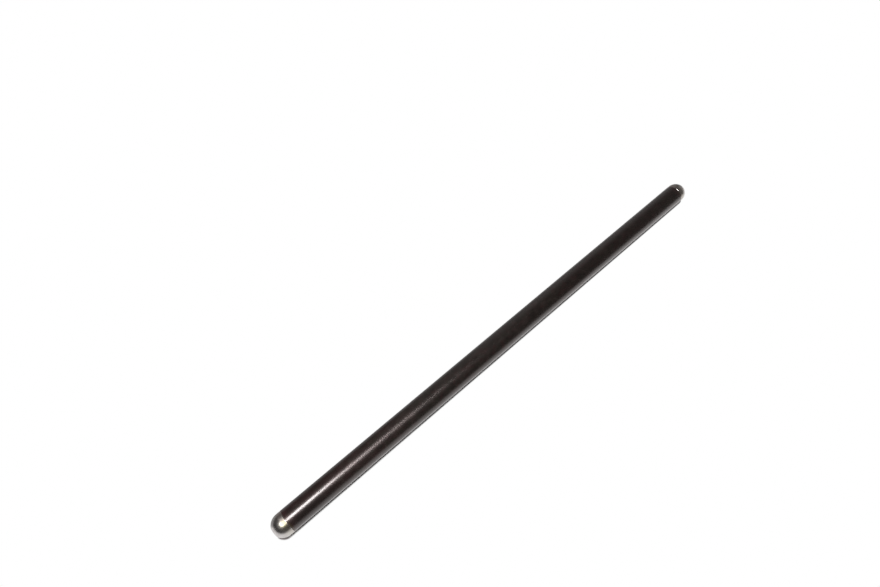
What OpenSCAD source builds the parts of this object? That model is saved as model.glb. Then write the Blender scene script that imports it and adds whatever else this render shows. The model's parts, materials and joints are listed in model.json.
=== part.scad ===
// Engine pushrod: a seamless steel tube with a hardened, drilled ball end pressed and welded into each end.
// The rod lies along X. The origin is the centre of the ball that sits in the lifter, and +X runs to the rocker.

/* [Rod] */
// Overall length, from tip flat to tip flat
rod_len = 208.3; // [60:0.1:330]

/* [Tube] */
// Outside diameter of the tube
tube_d = 7.94; // [6.6:0.01:14.3]
// Wall thickness of the tube
tube_wall = 1.65; // [0.9:0.01:2.4]
// Chamfer round the outside of each end of the tube
tube_chamfer = 0.08; // [0.05:0.01:0.5]
// Chamfer round the inside of each end of the tube, which leads the stem in
bore_chamfer = 0.3; // [0.05:0.01:0.6]

/* [Ball ends] */
// Diameter of the ball
ball_d = 7.87; // [6.6:0.01:14.3]
// Straight land from the centre of the ball to the end of the tube
land_len = 1.45; // [0.5:0.05:6]
// Chamfer round the shoulder that seats on the end of the tube
shoulder_chamfer = 0.06; // [0.05:0.01:0.5]
// Length of the stem inside the tube
stem_len = 9; // [3:0.1:25]
// Chamfer round the leading end of the stem
stem_chamfer = 0.5; // [0.1:0.05:0.8]
// Gap between the stem and the bore of the tube, on the radius
stem_clearance = 0.01; // [0.005:0.005:0.05]

/* [Oil passage] */
// Diameter of the oil hole drilled through each ball end
oil_d = 2.38; // [1:0.01:3.8]
// Chamfer at the mouth of the oil hole
oil_chamfer = 0.25; // [0.05:0.01:0.5]
// Width of the flat ring on the tip, around that chamfer
tip_ring = 0.22; // [0.05:0.01:0.8]

/* [Hidden] */
$fn = 96;

ball_r = ball_d / 2;
bore_r = tube_d / 2 - tube_wall;
stem_r = bore_r - stem_clearance;
oil_r = oil_d / 2;

// The tip flat is a chord of the ball, so its radius gives its distance from the ball's centre.
tip_flat_r = oil_r + oil_chamfer + tip_ring;
tip_h = sqrt(pow(ball_r, 2) - pow(tip_flat_r, 2));

// Both balls' centres are one tip height in from the ends of the rod.
ball_span = rod_len - 2 * tip_h;
tube_len = ball_span - 2 * land_len;

// Overlap that lets one cut run clear through a face
cut = 1;

// Half section of a round bar that starts at height 0 and has a chamfer at its far end
module bar_section(r, len, chamfer) {
    polygon([[0, 0], [r, 0], [r, len - chamfer], [r - chamfer, len], [0, len]]);
}

// Half section of a chamfered hole mouth, which opens downwards at height 0
module mouth_section(r, chamfer) {
    polygon([[0, -cut], [r + chamfer + cut, -cut], [r, chamfer], [0, chamfer]]);
}

// Half section of the tube, with its lifter end at height 0
module tube_section() {
    outer_r = tube_d / 2;
    polygon([
        [bore_r, bore_chamfer], [bore_r + bore_chamfer, 0],
        [outer_r - tube_chamfer, 0], [outer_r, tube_chamfer],
        [outer_r, tube_len - tube_chamfer], [outer_r - tube_chamfer, tube_len],
        [bore_r + bore_chamfer, tube_len], [bore_r, tube_len - bore_chamfer]
    ]);
}

// Half section of a ball end, with the centre of its ball at the origin, its tip below and its stem above
module ball_end_section() {
    difference() {
        union() {
            intersection() {
                circle(d = ball_d);
                translate([0, -tip_h]) square([ball_d, tip_h]);
            }
            bar_section(ball_r, land_len, shoulder_chamfer);
            translate([0, land_len]) bar_section(stem_r, stem_len, stem_chamfer);
        }
        translate([0, -tip_h - cut]) square([oil_r, tip_h + land_len + stem_len + 2 * cut]);
        translate([0, -tip_h]) mouth_section(oil_r, oil_chamfer);
    }
}

// Turns a half section about the rod's own axis, with its height along +X
module turned() {
    rotate([0, 90, 0]) rotate_extrude() children();
}

module tube() {
    color("#2e2725") translate([land_len, 0, 0]) turned() tube_section();
}

module lifter_ball_end() {
    color("#b3b1a8") turned() ball_end_section();
}

module rocker_ball_end() {
    color("#b3b1a8") translate([ball_span, 0, 0]) rotate([0, 0, 180]) turned() ball_end_section();
}

tube();
lifter_ball_end();
rocker_ball_end();
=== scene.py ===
import json
import math

import bmesh
import bpy
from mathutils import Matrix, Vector


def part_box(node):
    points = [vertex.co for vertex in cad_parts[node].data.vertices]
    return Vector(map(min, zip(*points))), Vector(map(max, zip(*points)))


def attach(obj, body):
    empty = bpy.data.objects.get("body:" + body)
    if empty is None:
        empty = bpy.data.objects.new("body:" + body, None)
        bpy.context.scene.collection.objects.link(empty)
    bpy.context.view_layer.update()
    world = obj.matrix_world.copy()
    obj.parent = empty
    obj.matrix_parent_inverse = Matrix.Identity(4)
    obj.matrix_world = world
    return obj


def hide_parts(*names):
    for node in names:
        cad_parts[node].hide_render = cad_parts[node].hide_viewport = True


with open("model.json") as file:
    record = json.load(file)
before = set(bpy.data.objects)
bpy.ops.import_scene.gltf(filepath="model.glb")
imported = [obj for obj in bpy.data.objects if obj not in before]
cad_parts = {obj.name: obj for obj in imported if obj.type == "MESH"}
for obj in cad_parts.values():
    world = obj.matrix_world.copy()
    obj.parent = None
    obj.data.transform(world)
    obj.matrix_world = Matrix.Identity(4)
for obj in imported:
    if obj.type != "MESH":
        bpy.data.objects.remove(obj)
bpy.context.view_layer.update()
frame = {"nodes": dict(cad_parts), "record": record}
print("frame loaded:", ", ".join(sorted(frame["nodes"])))

mm = 0.001
perMm = 1 / mm  # turns Object coordinates into millimetres
bumpFilter = 0.03  # in pixels, so that the finest marks stay

# the rod's main sizes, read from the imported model
mounts = {mount["name"]: mount for mount in frame["record"]["mounts"]}
tubeLow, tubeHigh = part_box("tube")
lifterLow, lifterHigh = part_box("lifter_ball_end")
rod = {
    "ballSpan": mounts["rocker_ball"]["pos_m"][0],  # between the balls' centres
    "seam": tubeLow.x,  # from a ball's centre to the end of the tube
    "tubeLength": tubeHigh.x - tubeLow.x,
    "tubeRadius": tubeHigh.z,
    "ballRadius": lifterHigh.z,
    "tip": -lifterLow.x,  # from a ball's centre to its flat
    "stemEnd": lifterHigh.x,  # from a ball's centre to the inner end of the stem
    "oilRadius": mounts["lifter_oil_hole"]["dims"]["r_mm"] * mm,
}


# a socket that adds Math nodes as it is used in sums
class Wire:
    def __init__(self, sheet, socket):
        self.sheet = sheet
        self.socket = socket

    def math(self, operation, *values):
        sockets = dict(enumerate(values))
        return self.sheet.add("ShaderNodeMath", {"operation": operation}, sockets)["Value"]

    def atLeast(self, low):
        return self.math("MAXIMUM", self, low)

    # this value where the share is 0, the target where it is 1
    def towards(self, target, share):
        return self + share * (target - self)

    def __add__(self, other):
        return self.math("ADD", self, other)

    def __radd__(self, other):
        return self.math("ADD", other, self)

    def __sub__(self, other):
        return self.math("SUBTRACT", self, other)

    def __rsub__(self, other):
        return self.math("SUBTRACT", other, self)

    def __mul__(self, other):
        return self.math("MULTIPLY", self, other)

    def __rmul__(self, other):
        return self.math("MULTIPLY", other, self)

    def __truediv__(self, other):
        return self.math("DIVIDE", self, other)

    def __rtruediv__(self, other):
        return self.math("DIVIDE", other, self)

    def __pow__(self, other):
        return self.math("POWER", self, other)

    def __mod__(self, other):
        return self.math("MODULO", self, other)

    def __abs__(self):
        return self.math("ABSOLUTE", self)

    def __floor__(self):
        return self.math("FLOOR", self)


# a node tree that nodes are added to by type, settings and sockets
class Sheet:
    def __init__(self, tree):
        self.tree = tree

    def add(self, kind, settings=None, sockets=None):
        node = self.tree.nodes.new(kind)
        for name, value in (settings or {}).items():
            setattr(node, name, value)
        for name, value in (sockets or {}).items():
            target = node.inputs[name] if isinstance(name, int) else self.named(node.inputs, name)
            if isinstance(value, Wire):
                self.tree.links.new(value.socket, target)
            else:
                target.default_value = value
        return {socket.name: Wire(self, socket) for socket in node.outputs if socket.enabled}

    def named(self, sockets, name):
        return next(socket for socket in sockets if socket.enabled and socket.name == name)

    # 0 below low, 1 above high, smooth between; low may be the larger
    def step(self, value, low, high):
        settings = {"interpolation_type": "SMOOTHSTEP"}
        sockets = {"Value": value, "From Min": low, "From Max": high}
        return self.add("ShaderNodeMapRange", settings, sockets)["Result"]

    def mix(self, share, first, second):
        sockets = {"Factor": share, "A": first, "B": second}
        return self.add("ShaderNodeMix", {"data_type": "RGBA"}, sockets)["Result"]

    # a finish's colours laid over its ground one by one, each with its share
    def layered(self, finish, ground, layers):
        tone = finish[ground]
        for share, name in layers:
            tone = self.mix(share, tone, finish[name])
        return tone

    # noise whose grain is 1 / scale millimetres along each axis; the shift sets it apart from the others
    def noise(self, place, scale, detail=2.0, roughness=0.5, shift=(0, 0, 0)):
        mapping = {"Vector": place, "Scale": scale, "Location": shift}
        grain = self.add("ShaderNodeMapping", {}, mapping)["Vector"]
        sockets = {"Vector": grain, "Scale": 1.0, "Detail": detail, "Roughness": roughness}
        return self.add("ShaderNodeTexNoise", {}, sockets)["Fac"]


# a noise about 0 that is as wide as given
def wander(noise, width):
    return (noise - 0.5) * width


def colour(red, green, blue):
    return (red, green, blue, 1.0)


def newMaterial(name):
    material = bpy.data.materials.new(name)
    material.use_nodes = True
    material.node_tree.nodes.clear()
    return material, Sheet(material.node_tree)


# Object coordinates in millimetres: the place, its x along the rod, its distance from the rod's axis,
# and how far it faces back, from -1 at the front of the rod to 1 behind it
def rodCoordinates(sheet):
    place = sheet.add("ShaderNodeTexCoord")["Object"]
    scaling = {"Vector": place, "Scale": perMm}
    place = sheet.add("ShaderNodeVectorMath", {"operation": "SCALE"}, scaling)["Vector"]
    parts = sheet.add("ShaderNodeSeparateXYZ", {}, {"Vector": place})
    x, y, z = parts["X"], parts["Y"], parts["Z"]
    radius = (y * y + z * z) ** 0.5
    return place, x, radius, y / radius


# the finish's shader, with its fine relief as bump
def surface(sheet, finish, relief, sockets):
    bump = sheet.add("ShaderNodeBump", {}, {
        "Height": relief,
        "Distance": finish["bumpDistance"],
        "Strength": finish["bumpStrength"],
        "Filter Width": bumpFilter,
    })["Normal"]
    shader = sheet.add("ShaderNodeBsdfPrincipled", {}, {**sockets, "Normal": bump})["BSDF"]
    sheet.add("ShaderNodeOutputMaterial", {}, {"Surface": shader})


# an edge is where a mark starts and where it is full, in mm from the seam unless it says otherwise,
# a side is the same round the rod, as how far the surface faces back, and a range is the same in a noise;
# a share is how much of its colour a mark has, and a lean is how much that grows from the top to the back
oxide = {
    "brown": colour(0.0225, 0.0142, 0.0125),
    "red": colour(0.0245, 0.0112, 0.0102),
    "olive": colour(0.0205, 0.0162, 0.0132),
    "pale": colour(0.0350, 0.0234, 0.0210),
    # dark patches, and also the colour of the painted shade on the front beside the lifter's weld
    "sootyAndShade": colour(0.0120, 0.0080, 0.0072),
    "rustPatch": colour(0.0290, 0.0112, 0.0106),
    "olivePatch": colour(0.0190, 0.0176, 0.0120),
    "weldBrown": colour(0.0520, 0.0210, 0.0210),
    "straw": colour(0.085, 0.066, 0.030),
    "bareEdge": colour(0.20, 0.185, 0.17),
    "longGrain": (0.06, 0.22, 0.22),  # of the long patches, per mm along each axis
    "longRange": (0.40, 0.70),
    "redGrain": (0.10, 0.35, 0.35),  # of the long red patches
    "redRange": (0.46, 0.66),
    "longShare": 0.5,  # of both
    "mottleGrain": (0.42, 0.65, 0.65),  # of the small patches
    "paleRange": (0.50, 0.70),
    "sootyRange": (0.50, 0.30),
    "mottleShare": 0.8,  # of the pale and the sooty ones
    "rustRange": (0.52, 0.70),
    "oliveRange": (0.48, 0.30),
    "tintShare": 0.6,  # of the rusty and the olive ones
    "speckleGrain": (2.2, 3.0, 3.0),
    "grindGrain": (30.0, 0.8, 0.8),  # of the grinding marks round the tube
    "redEdge": (54.0, 30.0),  # of the reddish stretch, in mm from the lifter's ball
    "redShare": 0.65,
    "redLean": 0.25,
    "oliveMiddle": 88.0,  # of the olive stretch, in mm from the lifter's ball
    "oliveEdge": (48.0, 28.0),  # in mm from that middle
    "oliveShare": 0.8,
    "stretchWander": 50.0,  # how far the ends of both stretches wander, in mm
    "frontShadeEdge": (28.0, 10.0),  # of the painted shade that darkens the front beside the lifter's weld, in mm from the lifter's ball
    "frontShadeWander": 20.0,
    "frontShadeSide": (-0.10, -0.45),
    "frontShadeShare": 0.7,
    "heatEdge": (3.2, 0.2),  # of the weld's heat tint
    "heatWander": 5.0,
    "heatSpeckle": 1.2,
    "heatShare": 0.6,
    "heatLean": 0.3,
    "strawEdge": (0.9, 0.3),
    "strawSpeckle": 0.6,
    "strawSide": (0.0, -0.3),
    "strawShare": 0.4,
    "rubbedEdge": (0.22, 0.05),  # at the very end of the tube
    "rubbedSpeckle": 0.25,
    "rubbedShare": 0.4,
    "nickPlace": Vector((14.3, -0.47, 3.94)),  # a nick in the oxide, in mm
    "nickEdge": (0.24, 0.12),  # in mm from its middle
    "nickShare": 0.75,
    "nickRoughness": 0.8,
    "metallic": 0.3,
    "indexOfRefraction": 1.7,
    "glossTint": colour(1.0, 0.88, 0.865),
    "roughness": 0.34,
    "roughnessSpread": 0.08,
    "oilFilm": 0.6,
    "oilRoughness": 0.20,
    "speckleDepth": 0.15,  # beside the grinding marks' own depth
    "bumpDistance": 0.0120 * mm,
    "bumpStrength": 1.0,
}


# satin brown-black oxide over drawn steel
def oxideTube():
    material, sheet = newMaterial("oxideTube")
    place, x, _, back = rodCoordinates(sheet)
    patches = sheet.noise(place, oxide["longGrain"], detail=3.0)
    redPatches = sheet.noise(place, oxide["redGrain"], detail=3.0, shift=(40, 7, 3))
    mottle = sheet.noise(place, oxide["mottleGrain"], shift=(11, 2, 6))
    tint = sheet.noise(place, oxide["mottleGrain"], shift=(23, 5, 1))
    grind = sheet.noise(place, oxide["grindGrain"], detail=1.0, shift=(5, 0, 9))
    speckle = sheet.noise(place, oxide["speckleGrain"], detail=3.0, roughness=0.6)

    red = sheet.step(x + wander(redPatches, oxide["stretchWander"]), *oxide["redEdge"])
    fromOlive = abs(x + wander(patches, oxide["stretchWander"]) - oxide["oliveMiddle"])
    olive = sheet.step(fromOlive, *oxide["oliveEdge"])
    # painted shade: the front of the tube beside the lifter's weld is darkened, standing in for less light
    # falling there
    paintedFrontShade = sheet.step(x + wander(patches, oxide["frontShadeWander"]), *oxide["frontShadeEdge"])
    paintedFrontShade = paintedFrontShade * sheet.step(back, *oxide["frontShadeSide"])

    fromSeam = rod["tubeLength"] / 2 * perMm - abs(x - rod["ballSpan"] / 2 * perMm)
    heatPlace = fromSeam + wander(speckle, oxide["heatSpeckle"]) + wander(redPatches, oxide["heatWander"])
    heat = sheet.step(heatPlace, *oxide["heatEdge"])
    straw = sheet.step(fromSeam + wander(speckle, oxide["strawSpeckle"]), *oxide["strawEdge"])
    straw = straw * sheet.step(back, *oxide["strawSide"])
    rubbed = sheet.step(fromSeam + wander(speckle, oxide["rubbedSpeckle"]), *oxide["rubbedEdge"])
    fromNick = sheet.add("ShaderNodeVectorMath", {"operation": "DISTANCE"}, {
        0: place, 1: oxide["nickPlace"]})["Value"]
    nick = sheet.step(fromNick, *oxide["nickEdge"]) * oxide["nickShare"]

    tone = sheet.layered(oxide, "brown", [
        (sheet.step(patches, *oxide["longRange"]) * oxide["longShare"], "olive"),
        (sheet.step(redPatches, *oxide["redRange"]) * oxide["longShare"], "red"),
        (olive * oxide["oliveShare"], "olive"),
        (red * (oxide["redShare"] + back * oxide["redLean"]), "red"),
        (sheet.step(mottle, *oxide["paleRange"]) * oxide["mottleShare"], "pale"),
        (sheet.step(mottle, *oxide["sootyRange"]) * oxide["mottleShare"], "sootyAndShade"),
        (sheet.step(tint, *oxide["rustRange"]) * oxide["tintShare"], "rustPatch"),
        (sheet.step(tint, *oxide["oliveRange"]) * oxide["tintShare"], "olivePatch"),
        # the painted shade on the front beside the lifter's weld
        (paintedFrontShade * oxide["frontShadeShare"], "sootyAndShade"),
        (heat * (oxide["heatShare"] + back * oxide["heatLean"]), "weldBrown"),
        (straw * oxide["strawShare"], "straw"),
        (rubbed * oxide["rubbedShare"], "bareEdge"),
        (nick, "sootyAndShade"),
    ])
    roughness = oxide["roughness"] + (speckle + mottle - 1) * oxide["roughnessSpread"]
    surface(sheet, oxide, grind + speckle * oxide["speckleDepth"], {
        "Base Color": tone,
        "Metallic": oxide["metallic"],
        "IOR": oxide["indexOfRefraction"],
        "Specular Tint": oxide["glossTint"],
        "Roughness": roughness.towards(oxide["nickRoughness"], nick),
        "Coat Weight": oxide["oilFilm"] * (1 - nick),
        "Coat Roughness": oxide["oilRoughness"],
    })
    return material


# edges, sides, ranges, shares and leans are as in the oxide
steel = {
    "bright": colour(0.62, 0.590, 0.580),
    "stain": colour(0.54, 0.505, 0.490),
    "straw": colour(0.45, 0.42, 0.25),
    "weldBrown": colour(0.34, 0.262, 0.250),
    "oilFilm": colour(0.10, 0.085, 0.06),
    "stainGrain": (0.55, 0.55, 0.55),  # per mm along each axis
    "stainRange": (0.42, 0.68),
    "speckleGrain": (4.0, 4.0, 4.0),
    "ringsPerMm": 7.0,  # turning rings along the ball's profile
    "heatEdge": (3.6, 0.3),  # of the weld's straw tint
    "heatWander": 2.0,
    "heatSpeckle": 0.4,
    "strawFront": (-0.8, -0.45),  # the two sides of that tint's band on the lifter's ball
    "strawBack": (0.2, -0.15),
    "thinStraw": 0.25,  # its strength outside that band
    "strawShare": 0.9,
    "scorchReach": 1.1,  # of the brown beside the weld, in mm
    "scorchGain": 1.9,  # how much further it reaches at the back, in mm
    "scorchBack": (-0.1, 0.25),  # the side where it does
    "scorchStrength": 0.65,
    "scorchLean": 0.35,
    "scorchShare": 0.8,
    "scorchDulling": 0.04,  # roughness that it adds
    "scaleEdge": (2.2, 1.2),  # of the dull heat scale on top of the lifter's ball
    "scaleFront": (-0.5, -0.15),  # its two sides
    "scaleBack": (0.9, 0.0),
    "scaleRoughness": 0.55,
    "rubbedEdge": (0.13, 0.10),  # of the rubbed shoulder
    "rubbedShare": 0.9,
    "rubbedRoughness": 0.20,
    "boreEdge": (1.03, 0.99),  # of the oily bore, in radii of the oil hole
    "boreShare": 0.85,
    "boreDulling": 0.15,
    "roughness": 0.31,
    "roughnessSpread": 0.08,
    "grainSpread": 0.7,  # how far the rings and the speckle each take part in that spread
    "speckleDepth": 0.4,  # beside the rings' own depth
    "bumpDistance": 0.003 * mm,
    "bumpStrength": 0.5,
}


# ground steel with faint turning rings, tinted beside the weld
def ballSteel():
    material, sheet = newMaterial("ballSteel")
    place, x, radius, back = rodCoordinates(sheet)
    halfSpan = rod["ballSpan"] / 2 * perMm
    fromCentre = abs(x - halfSpan) - halfSpan  # along the axis, positive towards the tip
    alongProfile = radius.math("ARCTAN2", radius, fromCentre) * (rod["ballRadius"] * perMm)
    rings = sheet.add("ShaderNodeTexNoise", {"noise_dimensions": "1D"}, {
        "W": alongProfile, "Scale": steel["ringsPerMm"], "Detail": 2.0})["Fac"]
    stains = sheet.noise(place, steel["stainGrain"], detail=3.0, shift=(3, 1, 4))
    speckle = sheet.noise(place, steel["speckleGrain"], detail=3.0, roughness=0.6)

    atLifter = sheet.step(x, halfSpan, halfSpan * 0.9)  # 1 on the lifter's ball, 0 on the rocker's
    fromSeam = fromCentre + rod["seam"] * perMm
    heatPlace = fromSeam + wander(stains, steel["heatWander"]) + wander(speckle, steel["heatSpeckle"])
    band = sheet.step(back, *steel["strawFront"]) * sheet.step(back, *steel["strawBack"]) * atLifter
    heat = sheet.step(heatPlace, *steel["heatEdge"])
    heat = heat * (steel["thinStraw"] + band * (1 - steel["thinStraw"]))
    scorchReach = steel["scorchReach"] + sheet.step(back, *steel["scorchBack"]) * steel["scorchGain"]
    scorch = sheet.step(heatPlace, scorchReach, 0.0)
    scorch = scorch * (steel["scorchStrength"] + back * steel["scorchLean"])
    onTop = sheet.step(back, *steel["scaleFront"]) * sheet.step(back, *steel["scaleBack"]) * atLifter
    dull = sheet.step(heatPlace, *steel["scaleEdge"]) * onTop
    rubbed = sheet.step(fromSeam, *steel["rubbedEdge"])
    inBore = sheet.step(radius / (rod["oilRadius"] * perMm), *steel["boreEdge"])

    tone = sheet.layered(steel, "bright", [
        (sheet.step(stains, *steel["stainRange"]), "stain"),
        (heat * steel["strawShare"], "straw"),
        (scorch * steel["scorchShare"], "weldBrown"),
        (rubbed * steel["rubbedShare"], "bright"),
        (inBore * steel["boreShare"], "oilFilm"),
    ])
    grain = wander(rings, steel["grainSpread"]) + wander(speckle, steel["grainSpread"])
    roughness = steel["roughness"] + grain * steel["roughnessSpread"]
    roughness = roughness + scorch * steel["scorchDulling"] + inBore * steel["boreDulling"]
    roughness = roughness.towards(steel["scaleRoughness"], dull)
    roughness = roughness.towards(steel["rubbedRoughness"], rubbed)
    surface(sheet, steel, rings + speckle * steel["speckleDepth"], {
        "Base Color": tone,
        "Metallic": 1.0,
        "Roughness": roughness,
    })
    return material


materials = {"oxideTube": oxideTube(), "ballSteel": ballSteel()}
print("materials:", ", ".join(materials))


# turns a closed half section about the X axis, with a copy of it for each facet round the axis
def turningTree():
    joinWithin = 0.0001 * mm  # of points that meet where the loops close
    tree = bpy.data.node_groups.new("turnedPiece", "GeometryNodeTree")
    tree.is_modifier = True
    for name, kind in (("Section", "Geometry"), ("Facets Round", "Int"), ("Finish", "Material")):
        tree.interface.new_socket(name, in_out="INPUT", socket_type="NodeSocket" + kind)
    tree.interface.new_socket("Piece", in_out="OUTPUT", socket_type="NodeSocketGeometry")

    sheet = Sheet(tree)
    given = sheet.add("NodeGroupInput")
    facets = given["Facets Round"]
    points = sheet.add("GeometryNodeAttributeDomainSize", {}, {"Geometry": given["Section"]})["Point Count"]
    ring = facets + 1
    sockets = {"Vertices X": points + 1, "Vertices Y": ring}  # the last row and column close the loops
    grid = sheet.add("GeometryNodeMeshGrid", {}, sockets)["Mesh"]
    index = sheet.add("GeometryNodeInputIndex")["Index"]
    row = math.floor((index + 0.5) / ring)
    turn = (index - row * ring) * math.tau / facets
    position = sheet.add("GeometryNodeInputPosition")["Position"]
    profile = sheet.add("GeometryNodeSampleIndex", {"data_type": "FLOAT_VECTOR"}, {
        "Geometry": given["Section"], "Value": position, "Index": row % points})["Value"]
    place = sheet.add("ShaderNodeVectorRotate", {"rotation_type": "X_AXIS"}, {
        "Vector": profile, "Angle": turn})["Vector"]
    mesh = sheet.add("GeometryNodeSetPosition", {}, {"Geometry": grid, "Position": place})["Geometry"]
    doubles = {"Geometry": mesh, "Distance": joinWithin}
    mesh = sheet.add("GeometryNodeMergeByDistance", {}, doubles)["Geometry"]
    mesh = sheet.add("GeometryNodeSetShadeSmooth", {}, {"Geometry": mesh})["Geometry"]
    mesh = sheet.add("GeometryNodeRealizeInstances", {}, {"Geometry": mesh})["Geometry"]
    finished = {"Geometry": mesh, "Material": given["Finish"]}
    mesh = sheet.add("GeometryNodeSetMaterial", {}, finished)["Geometry"]
    sheet.add("NodeGroupOutput", {}, {"Piece": mesh})
    return tree


turnedPiece = turningTree()
print("turning tree: %d nodes" % len(turnedPiece.nodes))


# a corner is (x, r, edge break): the break rounds the corner off by that much along both its sides
def softened(corners, steps=4):
    mostOfSide = 0.45  # that one break may take
    outline = []
    for i, (x, r, edgeBreak) in enumerate(corners):
        corner = Vector((x, r))
        if not edgeBreak:
            outline.append(corner)
            continue
        before = Vector(corners[i - 1][:2]) - corner
        after = Vector(corners[(i + 1) % len(corners)][:2]) - corner
        first = corner + before.normalized() * min(edgeBreak, before.length * mostOfSide)
        last = corner + after.normalized() * min(edgeBreak, after.length * mostOfSide)
        for k in range(steps + 1):
            t = k / steps
            outline.append(first * (1 - t) ** 2 + corner * 2 * t * (1 - t) + last * t ** 2)
    return outline


# adds points along the outline's long stretches, so that no facet is longer than given
def divided(outline, longest):
    points = []
    for i, point in enumerate(outline):
        following = outline[(i + 1) % len(outline)]
        pieces = max(1, math.ceil((following - point).length / longest))
        points += [point.lerp(following, k / pieces) for k in range(pieces)]
    return points


# one turned mesh from a half section of (x, r) points, with the finish set by the tree
def turnedMesh(name, outline, facets, finish):
    section = bpy.data.meshes.new(name + "Section")
    count = len(outline)
    edges = [(i, (i + 1) % count) for i in range(count)]
    section.from_pydata([(point.x, 0, point.y) for point in outline], edges, [])
    blank = bpy.data.objects.new(name + "Blank", section)
    bpy.context.scene.collection.objects.link(blank)
    turning = blank.modifiers.new("turning", "NODES")
    turning.node_group = turnedPiece
    values = {"Facets Round": facets, "Finish": finish}
    for socket in turnedPiece.interface.items_tree:
        if socket.in_out == "INPUT" and socket.name in values:
            turning[socket.identifier] = values[socket.name]
    bpy.context.view_layer.update()
    evaluated = blank.evaluated_get(bpy.context.evaluated_depsgraph_get())
    mesh = bpy.data.meshes.new_from_object(evaluated)
    blank.modifiers.remove(turning)
    bpy.data.objects.remove(blank)
    bpy.data.meshes.remove(section)

    skin = bmesh.new()
    skin.from_mesh(mesh)
    bmesh.ops.recalc_face_normals(skin, faces=skin.faces)
    skin.to_mesh(mesh)
    skin.free()
    mesh.name = name
    return mesh


def addPiece(name, mesh, node):
    piece = bpy.data.objects.new(name, mesh)
    bpy.context.scene.collection.objects.link(piece)
    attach(piece, "root")
    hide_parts(node)
    print("%s: %d faces" % (name, len(mesh.polygons)))


tubeShape = {
    "wall": 1.65 * mm,
    "endChamfer": 0.06 * mm,
    "boreChamfer": 0.3 * mm,
    "edgeBreak": 0.03 * mm,
    "facets": 192,
    "longestFacet": 3.0 * mm,
}


def darkTube():
    outer = rod["tubeRadius"]
    bore = outer - tubeShape["wall"]
    chamfer = tubeShape["endChamfer"]
    lead = tubeShape["boreChamfer"]
    edge = tubeShape["edgeBreak"]
    start = rod["seam"]
    end = start + rod["tubeLength"]
    corners = [
        (start + lead, bore, edge), (start, bore + lead, edge),
        (start, outer - chamfer, edge), (start + chamfer, outer, edge),
        (end - chamfer, outer, edge), (end, outer - chamfer, edge),
        (end, bore + lead, edge), (end - lead, bore, edge),
    ]
    outline = divided(softened(corners), tubeShape["longestFacet"])
    return turnedMesh("darkTube", outline, tubeShape["facets"], materials["oxideTube"])


ballShape = {
    "stemClearance": 0.01 * mm,
    "stemChamfer": 0.5 * mm,
    "shoulderChamfer": {"lifterBall": 0.05 * mm, "rockerBall": 0.075 * mm},  # the rocker's is rubbed more
    "holeChamfer": 0.25 * mm,
    "edgeBreak": 0.025 * mm,
    "domeSteps": 40,
    "facets": 192,
    "longestFacet": 0.6 * mm,
}


# centre is the ball's centre along X, and way is -1 where the tip points down X and 1 where it points up
def ballEnd(name, centre, way):
    ball = rod["ballRadius"]
    hole = rod["oilRadius"]
    stem = rod["tubeRadius"] - tubeShape["wall"] - ballShape["stemClearance"]
    shoulder = ballShape["shoulderChamfer"][name]
    edge = ballShape["edgeBreak"]
    mouth = ballShape["holeChamfer"]
    flat = math.sqrt(ball ** 2 - rod["tip"] ** 2)
    corners = [
        (-rod["tip"] + mouth, hole, edge), (-rod["tip"], hole + mouth, edge),
        (-rod["tip"], flat, edge),
    ]
    rim = math.atan2(flat, rod["tip"])
    for k in range(1, ballShape["domeSteps"] + 1):
        angle = rim + (math.pi / 2 - rim) * k / ballShape["domeSteps"]
        corners.append((-ball * math.cos(angle), ball * math.sin(angle), 0))
    corners += [
        (rod["seam"] - shoulder, ball, edge), (rod["seam"], ball - shoulder, edge),
        (rod["seam"], stem, edge),
        (rod["stemEnd"] - ballShape["stemChamfer"], stem, edge),
        (rod["stemEnd"], stem - ballShape["stemChamfer"], edge), (rod["stemEnd"], hole, edge),
    ]
    outline = divided(softened(corners), ballShape["longestFacet"])
    outline = [Vector((centre - way * point.x, point.y)) for point in outline]
    return turnedMesh(name, outline, ballShape["facets"], materials["ballSteel"])


addPiece("darkTube", darkTube(), "tube")
addPiece("lifterBall", ballEnd("lifterBall", 0, -1), "lifter_ball_end")
addPiece("rockerBall", ballEnd("rockerBall", rod["ballSpan"], 1), "rocker_ball_end")


paper = {
    "half": 3.0,  # of its side, in metres
    "colour": colour(0.95, 0.95, 0.95),
    "shadedColour": colour(0.28, 0.25, 0.25),  # under the balls
    "shadedEdge": (0.0, 1.5),  # where that starts and is full past a ball's centre, times rod["seam"]
    "shadowEdge": (3.5 * mm, 4.0 * mm),  # beside the rod's axis, where its shadow starts to fade and ends
    "endShadow": 0.25 * mm,  # how far past the balls' centres the shadow's middle line runs
    "besideTip": 0.22 * mm,  # how much further that is beside the tips
    "tipEdge": (0.5, 1.35),  # where beside starts and is full, in radii of the oil hole
    "shadowTaper": 0.0004,  # how much narrower the shadow grows for each length along the rod
    "mirroredGain": 0.4 * mm,  # how much narrower it is in polished metal
    "mirroredReach": 100.0 * mm,  # how far beside the rod the paper has faded in polished metal
    "mirroredFar": 0.28,  # its brightness there past that reach
    "backShade": 0.6,  # how much darker the paper behind the rod is in polished metal
    "backSlant": 0.45,  # how fast that shade draws back past the lifter end
}


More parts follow.
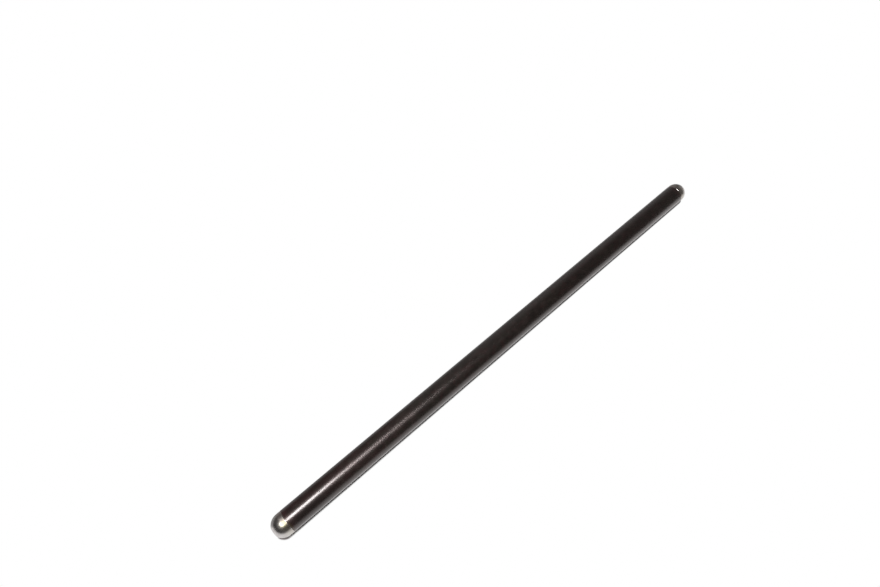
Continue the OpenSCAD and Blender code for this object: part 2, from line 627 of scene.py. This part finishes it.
# it glows white for the eye and for polished surfaces, but not in the shadow along the rod
def palePaper():
    material, sheet = newMaterial("palePaper")
    ray = sheet.add("ShaderNodeLightPath")
    glossy = ray["Is Glossy Ray"]
    seen = ray["Is Camera Ray"] + glossy + ray["Is Transmission Ray"]
    place = sheet.add("ShaderNodeTexCoord")["Object"]
    parts = sheet.add("ShaderNodeSeparateXYZ", {}, {"Vector": place})
    x, y = parts["X"], parts["Y"]
    halfSpan = rod["ballSpan"] / 2
    past = abs(x - halfSpan) - halfSpan  # past the nearer ball's centre
    underBall = sheet.step(past / rod["seam"], *paper["shadedEdge"])
    tone = sheet.mix(underBall, paper["colour"], paper["shadedColour"])
    shaded = sheet.add("ShaderNodeBsdfDiffuse", {}, {"Color": tone})["BSDF"]

    beside = sheet.step(abs(y) / rod["oilRadius"], *paper["tipEdge"])
    pastEnd = (past - (paper["endShadow"] + beside * paper["besideTip"])).atLeast(0)
    fromRod = (pastEnd ** 2 + y ** 2) ** 0.5 + x * paper["shadowTaper"]
    clear = sheet.step(fromRod + glossy * paper["mirroredGain"], *paper["shadowEdge"])

    pastLifter = (0 - x).atLeast(0)
    behind = sheet.step(y - pastLifter * paper["backSlant"], 0, rod["tubeRadius"])
    bright = sheet.step(abs(y), paper["mirroredReach"], rod["tubeRadius"])
    mirrored = paper["mirroredFar"] + bright * (1 - paper["mirroredFar"])
    mirrored = mirrored * (1 - behind * paper["backShade"])
    brightness = 1 - glossy * (1 - mirrored)
    white = sheet.add("ShaderNodeEmission", {}, {"Strength": brightness})["Emission"]
    both = sheet.add("ShaderNodeMixShader", {}, {0: clear * seen, 1: shaded, 2: white})["Shader"]
    sheet.add("ShaderNodeOutputMaterial", {}, {"Surface": both})
    return material


def paleFloor():
    half = paper["half"]
    height = -rod["tubeRadius"]
    mesh = bpy.data.meshes.new("floor")
    corners = [(-half, -half, height), (half, -half, height), (half, half, height), (-half, half, height)]
    mesh.from_pydata(corners, [], [(0, 1, 2, 3)])
    mesh.materials.append(palePaper())
    floor = bpy.data.objects.new("floor", mesh)
    bpy.context.scene.collection.objects.link(floor)


# a pair is where a part of the room starts and where it is full, as X, Y or Z of the direction to it
studio = {
    "roomColour": colour(1.0, 0.95, 0.92),
    "overhead": 0.065,  # brightness of the dark room above
    "nearShade": 0.7,  # how much darker it is before the lifter end
    "nearEdge": (-0.5, -0.9),
    "farSide": 0.42,  # brightness that the room gains behind the far half of the rod
    "farSideNear": (0.0, 0.6),
    "farSideFar": (1.0, 0.5),
    "farSideBack": (0.1, 1.0),
    "farEnd": 0.22,  # brightness that it gains straight past the rocker end
    "farEndFar": (0.6, 0.9),
    "farEndFront": (0.5, 0.1),
    "horizon": 0.28,  # brightness of the room at floor level
    "horizonEdge": (0.08, 0.0),
    "lampPlace": Vector((-16.0, -9.0, 225.0)) * mm,
    "lampTarget": Vector((40.0, 0.0, 0.0)) * mm,
    "lampWidth": 78.0 * mm,
    "lampLength": 75.0 * mm,  # along the rod
    "lampPower": 0.52,  # in watts
}


# a dark room that grows pale towards the floor
def room():
    world = bpy.data.worlds.new("room")
    world.use_nodes = True
    world.node_tree.nodes.clear()
    sheet = Sheet(world.node_tree)
    direction = sheet.add("ShaderNodeTexCoord")["Generated"]
    parts = sheet.add("ShaderNodeSeparateXYZ", {}, {"Vector": direction})
    x, y, z = parts["X"], parts["Y"], parts["Z"]
    farSide = sheet.step(x, *studio["farSideNear"]) * sheet.step(x, *studio["farSideFar"])
    farSide = farSide * sheet.step(y, *studio["farSideBack"])
    farEnd = sheet.step(x, *studio["farEndFar"]) * sheet.step(y, *studio["farEndFront"])
    wall = studio["overhead"] * (1 - sheet.step(x, *studio["nearEdge"]) * studio["nearShade"])
    wall = wall + farSide * studio["farSide"] + farEnd * studio["farEnd"]
    strength = wall.towards(studio["horizon"], sheet.step(z, *studio["horizonEdge"]))
    seen = sheet.add("ShaderNodeLightPath")["Is Camera Ray"]
    strength = strength.towards(1, seen)  # white behind the object
    tone = sheet.mix(seen + farSide, studio["roomColour"], colour(1, 1, 1))
    light = sheet.add("ShaderNodeBackground", {}, {"Color": tone, "Strength": strength})["Background"]
    sheet.add("ShaderNodeOutputWorld", {}, {"Surface": light})
    bpy.context.scene.world = world


# links a lamp or a camera to the scene, turned to what it looks at
def aimed(name, data, place, target):
    holder = bpy.data.objects.new(name, data)
    holder.location = place
    holder.rotation_euler = (target - place).to_track_quat("-Z", "Y").to_euler()
    bpy.context.scene.collection.objects.link(holder)
    return holder


# a nearly round lamp above the lifter end
def softLamp():
    lamp = bpy.data.lights.new("softLamp", "AREA")
    lamp.shape = "ELLIPSE"
    lamp.size = studio["lampWidth"]
    lamp.size_y = studio["lampLength"]
    lamp.energy = studio["lampPower"]
    aimed("softLamp", lamp, studio["lampPlace"], studio["lampTarget"])


paleFloor()
room()
softLamp()
print("studio: floor, room and lamp")


shot = {
    "place": Vector((20.4, -50.8, 187.3)) * mm,
    "target": Vector((91.94, 29.95, 0.0)) * mm,
    "lens": 22.81,
    "sensorWidth": 36,
    "nearest": 10 * mm,  # that the camera sees
}


def camera():
    data = bpy.data.cameras.new("camera")
    data.lens = shot["lens"]
    data.sensor_width = shot["sensorWidth"]
    data.clip_start = shot["nearest"]
    bpy.context.scene.camera = aimed("camera", data, shot["place"], shot["target"])


camera()
bpy.context.scene.view_settings.view_transform = "Standard"
